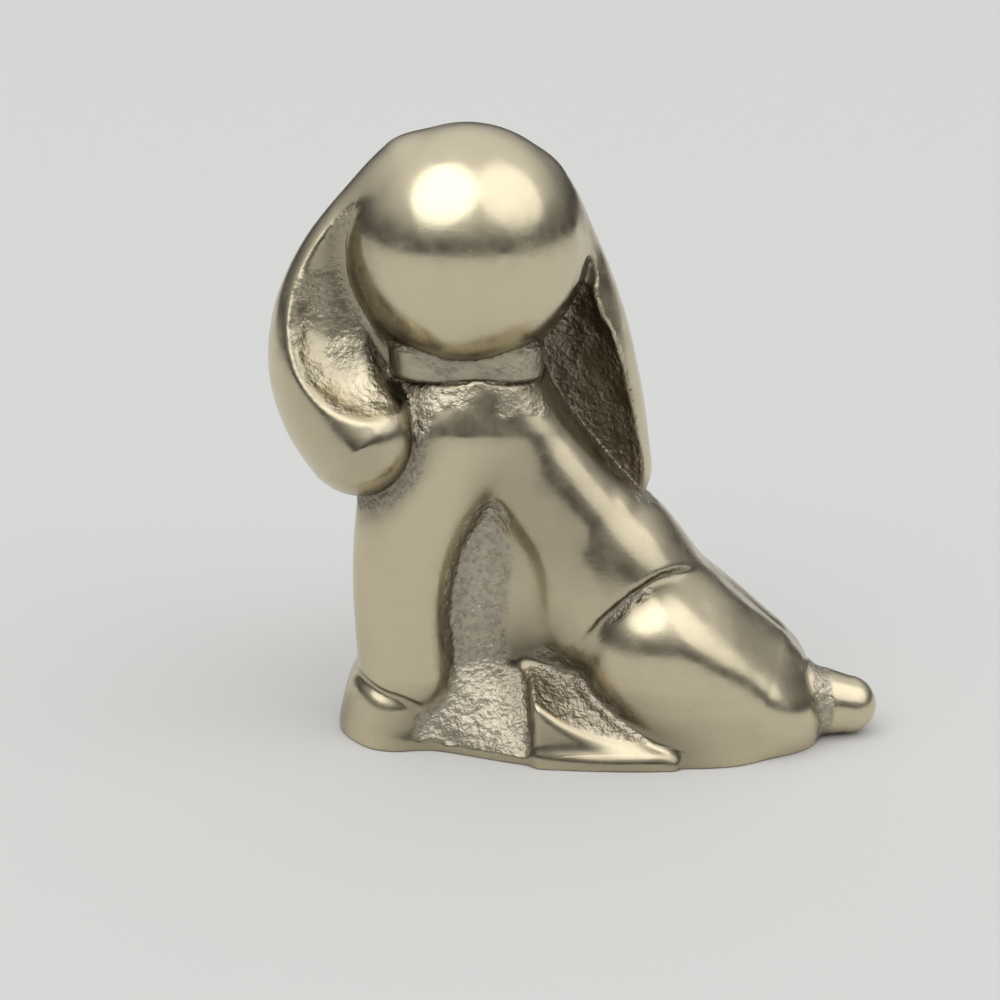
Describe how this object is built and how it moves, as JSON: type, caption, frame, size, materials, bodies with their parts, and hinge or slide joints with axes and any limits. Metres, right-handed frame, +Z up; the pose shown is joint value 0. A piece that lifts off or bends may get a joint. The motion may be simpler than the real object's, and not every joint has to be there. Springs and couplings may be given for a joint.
{
  "type": "brass dog figurine",
  "caption": "Small polished brass figurine of a sitting puppy with long hanging ears and a collar, its head turned to look back over its shoulder.",
  "frame": {"origin": "on the floor, under the middle of the figurine's bounding box", "axes": "+Z up, -X towards the chest and forelegs, +X along the tail, +Y the way the turned head looks"},
  "size_m": [0.0726, 0.0344, 0.073],
  "materials": {
    "polished_brass": "cast brass, polished bright by hand on the raised surfaces and left rough in the hollows of the ears",
    "body_brass": "cast brass, polished on the legs, back and haunches, left as cast and pitted between the legs and on the ground",
    "collar_brass": "cast brass, left rough and darkened where a polishing wheel can't reach"
  },
  "bodies": {
    "root": {"body": "body_brass", "head": "polished_brass", "left_ear": "polished_brass", "right_ear": "polished_brass", "collar": "collar_brass", "left_hind_leg": "body_brass", "right_hind_leg": "body_brass", "tail": "body_brass"}
  },
  "joints": []
}
